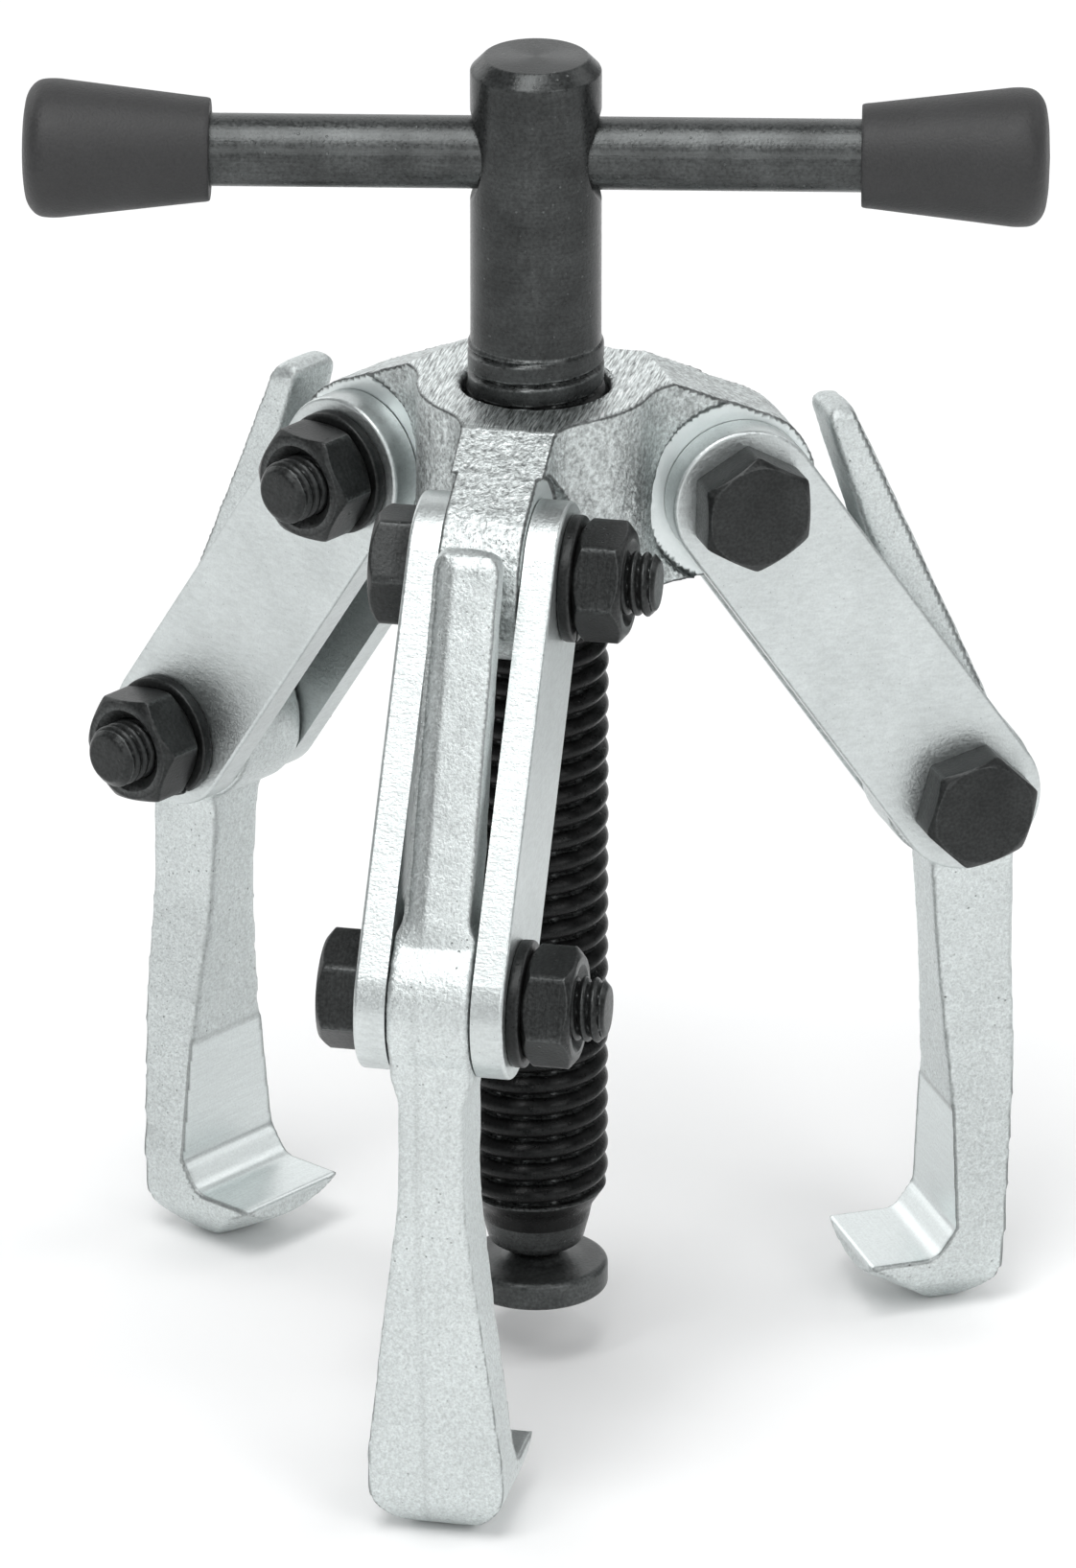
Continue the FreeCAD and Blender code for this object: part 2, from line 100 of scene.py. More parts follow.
def node_points(node, placed):
    """A CAD node's vertices in the millimetres of the frame called placed."""
    mesh = frame["nodes"][node].data
    co = np.empty(len(mesh.vertices) * 3)
    mesh.vertices.foreach_get("co", co)
    back = np.array(placed.inverted())
    return co.reshape(-1, 3) @ back[:3, :3].T + back[:3, 3]


def hexagon_turn(node, placed):
    """Angle of one corner of a CAD hexagon, found from its furthest vertex."""
    points = node_points(node, placed)
    corner = points[np.argmax(np.hypot(points[:, 0], points[:, 1]))]
    return math.atan2(corner[1], corner[0])


# ---------------------------------------------------------------- mesh helpers
def add_piece(name, vertices, faces, placed, body, slot, node, sharp=38):
    """Mesh piece, in millimetres of its own frame, that rides a body and stands for a node."""
    mesh = bpy.data.meshes.new(name)
    mesh.from_pydata([tuple(v) for v in vertices], [], faces)
    finish_mesh(mesh, sharp)
    return place_piece(name, mesh, placed, body, slot, node)


def mark(mesh, name, values):
    mask = mesh.attributes.new(name, "FLOAT", "POINT")
    mask.data.foreach_set("value", np.asarray(values, np.float32))


def mark_edges(mesh):
    """Vertex mask "edge": how much the faces round a vertex turn away from each other."""
    count = len(mesh.polygons)
    normals, areas = np.empty(count * 3), np.empty(count)
    mesh.polygons.foreach_get("normal", normals)
    mesh.polygons.foreach_get("area", areas)
    sizes = np.empty(count, int)
    mesh.polygons.foreach_get("loop_total", sizes)
    corners = np.empty(len(mesh.loops), int)
    mesh.loops.foreach_get("vertex_index", corners)
    face = np.repeat(np.arange(count), sizes)
    total = np.zeros((len(mesh.vertices), 3))
    np.add.at(total, corners, (normals.reshape(-1, 3) * areas[:, None])[face])
    weight = np.bincount(corners, areas[face], len(mesh.vertices))
    mark(mesh, "edge", 1 - np.linalg.norm(total, axis=1) / np.maximum(weight, 1e-12))


def place_piece(name, mesh, placed, body, slot, node):
    """Object for a mesh in millimetres, laid in its frame; textures follow that frame."""
    mark_edges(mesh)
    mesh.transform(Matrix.Scale(MM, 4))
    mesh.materials.clear()
    mesh.materials.append(MATERIALS[slot])
    piece = bpy.data.objects.new(name, mesh)
    piece.matrix_world = placed @ Matrix.Scale(1 / MM, 4)
    scene.collection.objects.link(piece)
    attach(piece, body)
    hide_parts(node)
    return piece


def finish_mesh(mesh, sharp):
    """Outward normals, smooth shading, and hard edges above an angle in degrees."""
    work = bmesh.new()
    work.from_mesh(mesh)
    bmesh.ops.recalc_face_normals(work, faces=work.faces)
    work.to_mesh(mesh)
    work.free()
    mesh.shade_smooth()
    mesh.set_sharp_from_angle(angle=math.radians(sharp))


def ring_grid(rings, closed=False):
    """Vertices and faces of a tube of rings; a ring of one point closes an end."""
    vertices, starts = [], []
    for ring in rings:
        starts.append(len(vertices))
        vertices.extend(ring)
    faces = []
    pairs = list(zip(range(len(rings)), range(1, len(rings))))
    if closed:
        pairs.append((len(rings) - 1, 0))
    for a, b in pairs:
        na, nb = len(rings[a]), len(rings[b])
        for i in range(max(na, nb)):
            j = (i + 1) % max(na, nb)
            if na == 1:
                faces.append((starts[a], starts[b] + i, starts[b] + j))
            elif nb == 1:
                faces.append((starts[a] + i, starts[b], starts[a] + j))
            else:
                faces.append((starts[a] + i, starts[b] + i, starts[b] + j, starts[a] + j))
    return vertices, faces


def ring(angles, radius, z):
    """Points round the Z axis; radius and z are numbers or one value for each angle."""
    radius = np.broadcast_to(radius, angles.shape)
    z = np.broadcast_to(z, angles.shape)
    return np.column_stack((radius * np.cos(angles), radius * np.sin(angles), z)).tolist()


def turned(profile, steps=96, shape=None):
    """Rings of a profile [(r, z), ...] turned about Z; r of 0 closes the end.

    Shape, when given, is what shape(angles, r) adds to the radius.
    """
    angles = np.linspace(0, 2 * math.pi, steps, endpoint=False)
    rings = []
    for r, z in profile:
        if r <= 0:
            rings.append([(0.0, 0.0, z)])
        else:
            rings.append(ring(angles, r + (shape(angles, r) if shape else 0), z))
    return rings


def eased(profile, radius, steps=4):
    """The same profile with each inner corner rounded; a radius per corner or one for all."""
    points = [np.array(p, float) for p in profile]
    radii = radius if isinstance(radius, (list, tuple)) else [radius] * len(points)
    out = [tuple(points[0])]
    for i in range(1, len(points) - 1):
        here, size = points[i], radii[i]
        back, ahead = points[i - 1] - here, points[i + 1] - here
        reach_back, reach_ahead = np.linalg.norm(back), np.linalg.norm(ahead)
        run = min(size, 0.48 * reach_back, 0.48 * reach_ahead)
        if run <= 1e-6:
            out.append(tuple(here))
            continue
        start, end = here + back / reach_back * run, here + ahead / reach_ahead * run
        for t in np.linspace(0, 1, steps + 1):
            out.append(tuple((1 - t) ** 2 * start + 2 * t * (1 - t) * here + t * t * end))
    out.append(tuple(points[-1]))
    return out


# ---------------------------------------------------------------- materials
class Shader:
    """A material whose nodes are added by short calls."""

    def __init__(self, name, **surface):
        self.material = bpy.data.materials.new(name)
        self.material.use_nodes = True
        self.tree = self.material.node_tree
        self.surface = self.tree.nodes["Principled BSDF"]
        for socket, value in surface.items():
            self.surface.inputs[socket.replace("_", " ")].default_value = value
        self.place = self.tree.nodes.new("ShaderNodeTexCoord").outputs["Object"]

    def link(self, source, target):
        self.tree.links.new(source, target)

    def add(self, kind, output=0, **inputs):
        node = self.tree.nodes.new(kind)
        for key, value in inputs.items():
            if key.startswith("set_"):
                setattr(node, key[4:], value)
                continue
            socket = node.inputs[int(key[3:]) if key.startswith("in_") else key.replace("_", " ")]
            if isinstance(value, bpy.types.NodeSocket):
                self.link(value, socket)
            else:
                socket.default_value = value
        return node.outputs[output]

    def noise(self, scale, detail=2.0, stretch=None, turn=(0, 0, 0), roughness=0.5):
        """Noise with scale features per metre; stretch scales each axis apart."""
        place = self.place
        if stretch:
            place = self.add("ShaderNodeMapping", Vector=place, Scale=stretch,
                             Rotation=[math.radians(a) for a in turn])
        return self.add("ShaderNodeTexNoise", Vector=place, Scale=scale, Detail=detail,
                        Roughness=roughness)

    def pits(self, scale, size):
        """1 inside scattered round specks, 0 elsewhere."""
        distance = self.add("ShaderNodeTexVoronoi", Vector=self.place, Scale=scale)
        return self.span(distance, size, size * 0.5, 0.0, 1.0)

    def span(self, value, low, high, to_low, to_high):
        return self.add("ShaderNodeMapRange", Value=value, From_Min=low, From_Max=high,
                        To_Min=to_low, To_Max=to_high)

    def math(self, operation, a, b=0.0):
        return self.add("ShaderNodeMath", set_operation=operation, in_0=a, in_1=b)

    def mix(self, factor, a, b):
        """Blend of two numbers."""
        return self.add("ShaderNodeMix", set_data_type="FLOAT", in_0=factor, in_2=a, in_3=b)

    def mask(self, name):
        return self.add("ShaderNodeAttribute", output=2, set_attribute_name=name)

    def grey(self, value, tint):
        """Colour from a brightness and a slight tint."""
        parts = [self.math("MULTIPLY", value, t) for t in tint]
        return self.add("ShaderNodeCombineColor", Red=parts[0], Green=parts[1], Blue=parts[2])

    def bump(self, *layers):
        """Stacked bumps, each (height socket, depth in millimetres)."""
        normal = None
        for height, depth in layers:
            inputs = {"Height": height, "Distance": depth * MM, "Strength": 1.0}
            if normal is not None:
                inputs["Normal"] = normal
            normal = self.add("ShaderNodeBump", **inputs)
        self.link(normal, self.surface.inputs["Normal"])

    def finish(self, colour, roughness):
        self.link(colour, self.surface.inputs["Base Color"])
        self.link(roughness, self.surface.inputs["Roughness"])
        return self.material


COOL = (0.945, 1.0, 0.995)


def zinc_forging(name, coarse, grain, dark, light, relief, edge_shade_depth, lines):
    """Zinc-plated forging.

    Its vertex masks are "machined" on milled patches, "spot" on spot faces, "seam" on the trimmed
    flash line and on the step of the milled jaw, where a line of shade is painted, and "edge" on
    sharp edges. Relief scales the grain's depth, the argument after it sets the painted shade
    that darkens sharp edges and creases, and lines is how the cutter marks stretch, their turn
    about Z and their contrast.
    """
    line_stretch, line_turn, contrast = lines
    s = Shader(name, Metallic=1.0)
    lumps = s.noise(coarse, 3.0)
    fine = s.noise(grain, 3.0, roughness=0.65)
    broad = s.noise(90.0, 2.0)
    pits = s.math("MULTIPLY", s.pits(1100.0, 0.13), s.span(broad, 0.45, 0.6, 0.0, 1.0))
    cut, spot = s.mask("machined"), s.mask("spot")
    marks = s.noise(1.0, 3.0, stretch=line_stretch, turn=(0, 0, line_turn), roughness=0.7)
    tone = s.span(s.math("ADD", s.math("MULTIPLY", fine, 0.7), s.math("MULTIPLY", lumps, 0.3)),
                  0.36, 0.64, dark, light)
    tone = s.math("MULTIPLY", tone, s.span(broad, 0.3, 0.7, 0.94, 1.05))
    tone = s.math("SUBTRACT", tone, s.math("MULTIPLY", pits, 0.35))
    tone = s.mix(spot, tone, light * 0.95)
    # Painted shade: sharp edges and creases are darkened along the "edge" mask.
    edge_shade = s.span(s.mask("edge"), 0.012, 0.08, 0.0, edge_shade_depth)
    tone = s.math("MULTIPLY", tone, s.math("SUBTRACT", 1.0, edge_shade))
    # The "seam" mask darkens the trimmed flash line and also paints shade along the milled jaw's
    # step.
    seam = s.math("MULTIPLY", s.mask("seam"), s.span(lumps, 0.3, 0.6, 0.4, 1.0))
    tone = s.math("MULTIPLY", tone, s.mix(seam, 1.0, 0.45))
    machined = s.span(marks, 0.3, 0.7, light * (1.0 - contrast), light * (1.0 + 0.4 * contrast))
    machined = s.math("MULTIPLY", machined, s.span(fine, 0.3, 0.7, 0.90, 1.08))
    machined = s.math("MULTIPLY", machined, s.mix(seam, 1.0, 0.45))
    colour = s.grey(s.mix(cut, tone, machined), COOL)
    rough = s.mix(cut, s.span(fine, 0.3, 0.7, 0.36, 0.52), s.span(marks, 0.3, 0.7, 0.32, 0.44))
    keep = s.math("SUBTRACT", s.math("SUBTRACT", 1.0, cut), s.math("MULTIPLY", spot, 0.85))
    s.bump((s.math("MULTIPLY", lumps, keep), 0.12 * relief),
           (s.math("MULTIPLY", fine, keep), 0.10 * relief),
           (s.math("MULTIPLY", pits, keep), -0.08),
           (s.math("MULTIPLY", marks, cut), 0.06 * contrast))
    return s.finish(colour, rough)


def zinc_sheet():
    """Satin zinc on the links, with fine speckle and a few scuffs."""
    s = Shader("zinc_sheet", Metallic=1.0)
    fine = s.noise(4200.0, 2.0)
    drag = s.noise(1.0, 3.0, stretch=(900, 900, 2600), roughness=0.6)
    broad = s.noise(140.0, 3.0)
    tone = s.span(s.math("ADD", s.math("MULTIPLY", fine, 0.5), s.math("MULTIPLY", drag, 0.5)),
                  0.35, 0.65, 0.58, 0.72)
    tone = s.math("MULTIPLY", tone, s.span(broad, 0.3, 0.7, 0.93, 1.03))
    tone = s.math("SUBTRACT", tone, s.math("MULTIPLY", s.pits(1300.0, 0.09), 0.28))
    s.bump((drag, 0.03), (fine, 0.025))
    return s.finish(s.grey(tone, COOL), s.span(fine, 0.3, 0.7, 0.32, 0.46))


def black_oxide(name, shade, rough, specks=0.0, metallic=0.7, groove=0.10, streak=0.0):
    """Blued steel: dark, satin, with turning marks round Z and small specks.

    Where the vertex mask "thread" is 1 the shade is multiplied by groove. Along the mask "edge"
    sharp edges are painted brighter: partly finish worn bright, partly a painted highlight.
    """
    s = Shader(name, Metallic=metallic, Anisotropic=streak, Anisotropic_Rotation=0.25)
    fine = s.noise(3200.0, 3.0)
    broad = s.noise(240.0, 3.0)
    turning = s.noise(1.0, 2.0, stretch=(150, 150, 6000), roughness=0.6)
    tone = s.span(fine, 0.35, 0.7, shade * 0.75, shade * 1.35)
    tone = s.math("MULTIPLY", tone, s.span(broad, 0.3, 0.7, 0.75, 1.3))
    tone = s.math("MULTIPLY", tone, s.span(turning, 0.3, 0.7, 0.9, 1.12))
    dots = s.pits(700.0, 0.11)
    tone = s.math("ADD", tone, s.math("MULTIPLY", dots, specks))
    tone = s.math("MULTIPLY", tone, s.mix(s.mask("thread"), 1.0, groove))
    # Sharp edges painted brighter: partly worn finish, partly a painted edge highlight.
    worn_and_highlit_edge = s.math("MULTIPLY", s.span(s.mask("edge"), 0.004, 0.05, 0.0, 1.0),
                  s.span(fine, 0.35, 0.6, 0.3, 1.0))
    tone = s.math("ADD", tone, s.math("MULTIPLY", worn_and_highlit_edge, shade * 1.6))
    s.bump((turning, 0.010), (fine, 0.025), (dots, -0.04))
    return s.finish(s.grey(tone, COOL), s.span(fine, 0.3, 0.7, rough - 0.05, rough + 0.09))


def grip_plastic():
    """Matt moulded plastic with a spark-eroded grain."""
    s = Shader("grip_plastic", Specular_IOR_Level=0.45)
    fine = s.noise(3800.0, 3.0)
    broad = s.noise(160.0, 3.0)
    tone = s.math("MULTIPLY", s.span(fine, 0.3, 0.7, 0.021, 0.033),
                  s.span(broad, 0.3, 0.7, 0.88, 1.12))
    s.bump((fine, 0.05), (broad, 0.15))
    return s.finish(s.grey(tone, (1.0, 1.0, 1.02)), s.span(fine, 0.3, 0.7, 0.46, 0.60))


MATERIALS = {
    # lines on the hub top run front to back; on a leg's jaw they run round the spindle
    "bridge_zinc": zinc_forging("bridge_forging", 1100.0, 2600.0, 0.32, 0.90, 1.2, 0.7,
                                ((5200, 400, 400), -8, 0.95)),
    "leg_zinc": zinc_forging("leg_forging", 2200.0, 4200.0, 0.54, 0.82, 0.6, 0.45,
                             ((5200, 260, 5200), 0, 0.10)),
    "link_zinc": zinc_sheet(),
    "spindle_black": black_oxide("spindle_oxide", 0.046, 0.30, specks=0.06, streak=0.75),
    "pad_black": black_oxide("pad_oxide", 0.070, 0.34, streak=0.4),
    "bar_black": black_oxide("bar_oxide", 0.068, 0.30, specks=0.04),
    "fastener_black": black_oxide("fastener_oxide", 0.030, 0.33),
    "washer_black": black_oxide("washer_oxide", 0.020, 0.36),
    "grip_plastic": grip_plastic(),
}


# ---------------------------------------------------------------- forged pieces
def even_copy(node, placed, cell):
    """Evenly meshed copy of a CAD solid, in the millimetres of the frame called placed."""
    mesh = frame["nodes"][node].data.copy()
    mesh.transform(placed.inverted())
    work = bmesh.new()
    work.from_mesh(mesh)
    bmesh.ops.remove_doubles(work, verts=work.verts, dist=1e-4)
    work.to_mesh(mesh)
    work.free()
    blank = bpy.data.objects.new("blank", mesh)
    scene.collection.objects.link(blank)
    depth = 8
    remesh = blank.modifiers.new("remesh", "REMESH")
    remesh.mode, remesh.octree_depth, remesh.use_remove_disconnected = "SHARP", depth, False
    remesh.scale = min(0.99, max(blank.dimensions) / (cell * 2 ** depth))
    done = bpy.data.meshes.new_from_object(
        blank.evaluated_get(bpy.context.evaluated_depsgraph_get()))
    bpy.data.objects.remove(blank)
    return done


def read_points(mesh):
    co = np.empty(len(mesh.vertices) * 3)
    mesh.vertices.foreach_get("co", co)
    return co.reshape(-1, 3)


def write_points(mesh, points):
    mesh.vertices.foreach_set("co", points.ravel())
    mesh.update()


def read_normals(mesh):
    normals = np.empty(len(mesh.vertices) * 3)
    mesh.vertex_normals.foreach_get("vector", normals)
    return normals.reshape(-1, 3)


def relax(mesh, passes, ease):
    """Ease edges: move each vertex part of the way, ease, to its neighbours' middle."""
    points = read_points(mesh)
    edges = np.empty(len(mesh.edges) * 2, int)
    mesh.edges.foreach_get("vertices", edges)
    a, b = edges.reshape(-1, 2).T
    count = np.bincount(edges, minlength=len(points))[:, None]
    for _ in range(passes):
        total = np.zeros_like(points)
        np.add.at(total, a, points[b])
        np.add.at(total, b, points[a])
        points += ease[:, None] * (total / count - points)
    write_points(mesh, points)
    return points, read_normals(mesh)


def smoothstep(x, low, high):
    t = np.clip((x - low) / (high - low), 0, 1)
    return t * t * (3 - 2 * t)


def forge_grain(points, size, seed):
    """Smooth lumps from -1 to 1 at points in millimetres, with features of a given size."""
    shift = Vector((seed * 13.1, seed * 7.7, seed * 3.3))
    return np.array([noise.noise(Vector(p) / size + shift) for p in points])


def make_leg(arm, seed):
    """Hook leg: two outer facets with the parting ridge left of the middle, milled jaw."""
    node, placed = f"{arm}_hook_leg", arm_frame(arm)
    boss = JOINTS[PIVOTS["lower"].format(arm)]["pos_m"][2] / MM
    mesh = even_copy(node, placed, 0.36)
    points = read_points(mesh)
    low, high = points.min(0), points.max(0)
    step, jaw = low[2] + 20.4, low[2] + 6.2
    inside = points[:, 0] < high[0] - 5.5
    in_jaw = inside * (points[:, 2] < step) * (points[:, 2] > low[2] + 4.2)
    p, n = relax(mesh, 6, np.where(in_jaw, 0.12, 0.5))

    # Outer facets, with a faint trimmed flash along the ridge between them.
    height = (p[:, 2] - low[2]) / (high[2] - low[2])
    tail = smoothstep(p[:, 2], boss + 6, boss + 10)
    outer = smoothstep(n[:, 0], 0.30, 0.75)
    ridge = np.interp(height, (0, 0.45, 0.6, 1.0), (-0.9, -1.2, -1.4, -1.4))
    beyond = p[:, 1] - ridge
    right, left = 0.03 + tail * 0.05, 0.05 + tail * 0.55
    facet = np.where(beyond > 0, beyond * right, -beyond * left)
    boss_free = smoothstep(np.abs(p[:, 2] - boss), 5.0, 8.5)
    p[:, 0] -= outer * facet * (0.4 + 0.6 * boss_free)
    seam = outer * np.exp(-(beyond / 0.26) ** 2) * (0.25 + 0.75 * tail) * (p[:, 2] > low[2] + 1)
    p[:, 0] -= 0.10 * seam

    # The milled jaw: inner face below the step, root and hook top.
    inner = smoothstep(-n[:, 0], 0.80, 0.97) * inside
    lower = 1 - smoothstep(p[:, 2], step - 0.15, step + 0.15)
    p[:, 0] += inner * lower * (p[:, 2] > jaw) * 0.16
    top_face = smoothstep(n[:, 2], 0.80, 0.97) * (p[:, 2] < low[2] + 9) * inside
    root = smoothstep(n[:, 2] - n[:, 0], 1.15, 1.35) * (p[:, 2] < low[2] + 10) * inside
    milled = np.maximum(np.maximum(inner * lower * (p[:, 2] > jaw - 1), top_face), root)

    tip = smoothstep(p[:, 2], high[2] - 3.5, high[2] - 1.0)
    lumps = forge_grain(p, 2.4, seed)
    grain = forge_grain(p, 1.0, seed + 5)
    relief = (0.05 + 0.14 * tip + 0.03 * tail) * lumps + 0.018 * grain - 0.02
    p += n * (relief * (1 - milled))[:, None]
    write_points(mesh, p)
    mark(mesh, "machined", milled)
    # Painted shade: a dark line along the step at the top of the milled jaw, kept in the "seam"
    # mask.
    step_shade_line = inner * np.exp(-((p[:, 2] - step) / 0.22) ** 2)
    mark(mesh, "seam", np.maximum(seam, step_shade_line))
    mesh.shade_smooth()
    place_piece(f"{arm}_leg_forging", mesh, placed, f"leg_{arm}", "leg_zinc", node)


def make_bridge():
    """Bridge: granular forging with a machined hub top and spot-faced ears."""
    placed = Matrix.Scale(MM, 4)
    mesh = even_copy("bridge", placed, 0.34)
    p = read_points(mesh)
    top = p[:, 2].max()
    near_bore = np.hypot(p[:, 0], p[:, 1]) < 8.2
    p, n = relax(mesh, 2, np.where(near_bore, 0.1, 0.4))
    machined = smoothstep(n[:, 2], 0.90, 0.98) * smoothstep(p[:, 2], top - 0.5, top - 0.2)
    spot = np.zeros(len(p))
    for arm in ARMS:
        pivot = Vector(JOINTS[PIVOTS["upper"].format(arm)]["pos_m"]) / MM
        out = Vector((pivot.x, pivot.y, 0)).normalized()
        reach = p[:, 0] * out.x + p[:, 1] * out.y - math.hypot(pivot.x, pivot.y)
        across = p[:, 1] * out.x - p[:, 0] * out.y
        facing = np.abs(n[:, 1] * out.x - n[:, 0] * out.y)
        near = np.hypot(reach, p[:, 2] - pivot.z) < 8.9
        spot = np.maximum(spot, near * smoothstep(facing, 0.9, 0.98) * (np.abs(across) < 4.5))
    relief = 0.07 * forge_grain(p, 1.6, 2) + 0.06 * forge_grain(p, 0.75, 3) - 0.05
    p += n * (relief * (1 - machined) * (1 - spot))[:, None]
    write_points(mesh, p)
    mark(mesh, "machined", machined)
    mark(mesh, "spot", spot)
    mesh.shade_smooth()
    place_piece("bridge_forging", mesh, placed, "bridge", "bridge_zinc", "bridge")


make_bridge()
for seed, arm in enumerate(ARMS):
    make_leg(arm, seed + 11)


# ---------------------------------------------------------------- threads
def thread_drop(angles, z, pitch, depth, sharpness=0.7):
    """How far a right-hand rounded thread lies below its crest at height z."""
    phase = (z / pitch - angles / (2 * math.pi)) % 1.0
    return depth * (1 - np.abs(np.sin(math.pi * phase)) ** sharpness)


# ---------------------------------------------------------------- spindle, pad, bar, grips
HEAD_RADIUS, BAR_HOLE_RADIUS, SPINDLE_PITCH = 6.1, 3.48, 2.25


def make_spindle():
    """Screw: ball end and cone, rounded thread that runs out on the head, cross hole."""
    low, high = box_mm("spindle")
    cad = node_points("spindle", Matrix.Scale(MM, 4))
    reach = np.hypot(cad[:, 0], cad[:, 1])
    crest, run_out, head, pitch, depth = reach.max(), 6.35, HEAD_RADIUS, SPINDLE_PITCH, 1.2
    full_end = cad[reach > crest - 0.02, 2].max()
    thread_end = cad[reach > run_out - 0.02, 2].max() + 0.3
    top, pad_top = high[2], box_mm("swivel_pad")[1][2]
    envelope = [(0.6, low[2] + 0.1), (1.5, low[2] + 0.75), (2.0, low[2] + 1.8),
                (1.8, pad_top - 0.2), (1.8, pad_top + 0.3), (2.7, pad_top + 0.4),
                (4.5, pad_top + 1.4), (5.1, pad_top + 3.7), (5.4, pad_top + 5.2),
                (crest, pad_top + 7.4), (crest, full_end), (run_out, full_end + 1.0),
                (run_out, thread_end - 0.3), (head + 0.02, thread_end)]
    rows = eased(envelope, 0.35, 3)
    z_start, z_end = pad_top + 3.9, thread_end + 0.4
    angles = np.linspace(0, 2 * math.pi, 96, endpoint=False)
    rings = [[(0.0, 0.0, low[2])]] + [ring(angles, r, z) for r, z in rows if z < z_start]
    before = sum(len(points) for points in rings)
    line = np.array(rows)
    for z in np.arange(z_start, z_end, pitch / 14):
        outside = np.interp(z, line[:, 1], line[:, 0])
        fade = smoothstep(z, z_start, z_start + 1.2) * (1 - smoothstep(z, z_end - 1.2, z_end))
        crest_line = crest - thread_drop(angles, z, pitch, depth) * fade
        rings.append(ring(angles, np.minimum(outside, crest_line), z))
    after = sum(len(points) for points in rings)
    crown = [(head, z_end + 0.1), (head, top - 1.3), (head - 1.25, top), (0, top)]
    rings += turned(eased(crown, 0.18, 3), len(angles))
    vertices, faces = ring_grid(rings)
    piece = add_piece("spindle_screw", vertices, faces, Matrix.Scale(MM, 4), "spindle",
                      "spindle_black", "spindle")
    index = np.arange(len(vertices))
    height = np.array(vertices)[:, 2]
    threaded = (index >= before) * (index < after)
    mark(piece.data, "thread", threaded * (1 - smoothstep(height, full_end, full_end + 3.0)))
    drill_cross_hole(piece)


def bar_frame():
    """Millimetres along the tommy bar (z from left to right) to metres."""
    along = Vector(JOINTS["bar_slide"]["axis"]).normalized()
    low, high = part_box("tommy_bar")
    across = Vector((0, 0, 1)).cross(along)
    axes = Matrix(((0, 0, -1), across, along)).transposed()
    return Matrix.Translation((low + high) / 2) @ axes.to_4x4() @ Matrix.Scale(MM, 4)


def drill_cross_hole(piece):
    """Cut the bar's hole through the spindle head, with eased mouths."""
    bore, mouth, edge = BAR_HOLE_RADIUS, 4.3, HEAD_RADIUS
    profile = [(0, -9), (mouth + 2.2, -9), (mouth, -edge + 0.35), (bore, -edge + 1.4),
               (bore, edge - 1.4), (mouth, edge - 0.35), (mouth + 2.2, 9), (0, 9)]
    vertices, faces = ring_grid(turned(eased(profile, 0.3, 3), 64))
    mesh = bpy.data.meshes.new("drill")
    mesh.from_pydata([tuple(v) for v in vertices], [], faces)
    mesh.transform(bar_frame())
    finish_mesh(mesh, 30)
    drill = bpy.data.objects.new("drill", mesh)
    scene.collection.objects.link(drill)
    cut = piece.modifiers.new("cross_hole", "BOOLEAN")
    cut.object, cut.operation, cut.solver = drill, "DIFFERENCE", "EXACT"
    graph = bpy.context.evaluated_depsgraph_get()
    drilled = bpy.data.meshes.new_from_object(piece.evaluated_get(graph))
    piece.modifiers.clear()
    piece.data = drilled
    while len(drilled.materials) > 1:
        drilled.materials.pop()
    bpy.data.objects.remove(drill)
    drilled.shade_smooth()
    drilled.set_sharp_from_angle(angle=math.radians(32))


def make_pad():
    top = box_mm("swivel_pad")[1][2]
    radius, rim = 6.85, top - 0.8
    profile = [(0, 0), (radius - 0.25, 0), (radius, 0.25), (radius, rim - 0.35),
               (radius - 0.4, rim), (4.6, rim + 0.05), (3.2, rim + 0.3), (2.5, top), (2.05, top),
               (2.05, top - 0.9), (0, top - 2.4)]
    rings = turned(eased(profile, 0.3, 4), 96)
    vertices, faces = ring_grid(rings)
    add_piece("swivel_pad_disc", vertices, faces, Matrix.Scale(MM, 4), "pad", "pad_black",
              "swivel_pad")


def parting_line(angles, r):
    """A moulding seam: a low ridge along two opposite sides, outside the socket."""
    seam = np.exp(-((angles - math.pi * 0.5) / 0.025) ** 2)
    seam += np.exp(-((angles - math.pi * 1.5) / 0.025) ** 2)
    return 0.07 * seam * (1.0 if r > 4.8 else 0.0)


def make_grips():
    """Conical grips with a blind socket for the bar at the small end."""
    placed = bar_frame()
    bar_end = np.abs(node_points("tommy_bar", placed)[:, 2]).max()
    bore, small, large = 3.42, 4.85, 6.5
    for name, side in (("grip_left", -1), ("grip_right", 1)):
        z = node_points(name, placed)[:, 2] * side
        near, far = z.min(), z.max()
        profile = [(0, bar_end + 0.3), (bore, bar_end + 0.3), (bore, near + 0.15),
                   (bore + 0.25, near), (small - 0.1, near), (small, near + 0.35),
                   (small + 0.06, near + 1.0), (large, far - 3.0), (large - 0.15, far - 1.4),
                   (large - 1.3, far - 0.45), (3.2, far - 0.1), (0, far)]
        rounding = [0, 0.1, 0.1, 0.1, 0.2, 0.2, 0.3, 1.6, 1.1, 1.2, 1.6, 0]
        rows = eased(profile, rounding, 5)
        fine_rows = [rows[0]]
        for a, b in zip(rows, rows[1:]):
            parts = max(1, int(math.hypot(b[0] - a[0], b[1] - a[1]) / 0.9))
            fine_rows += [(a[0] + (b[0] - a[0]) * k / parts, a[1] + (b[1] - a[1]) * k / parts)
                          for k in range(1, parts + 1)]
        steps = 128
        rings = turned(fine_rows, steps, parting_line)
        vertices, faces = ring_grid([[(x, y, z * side) for x, y, z in r] for r in rings])
        add_piece(f"{name}_cone", vertices, faces, placed, "handle", "grip_plastic", name, 50)


make_spindle()
make_pad()
make_grips()


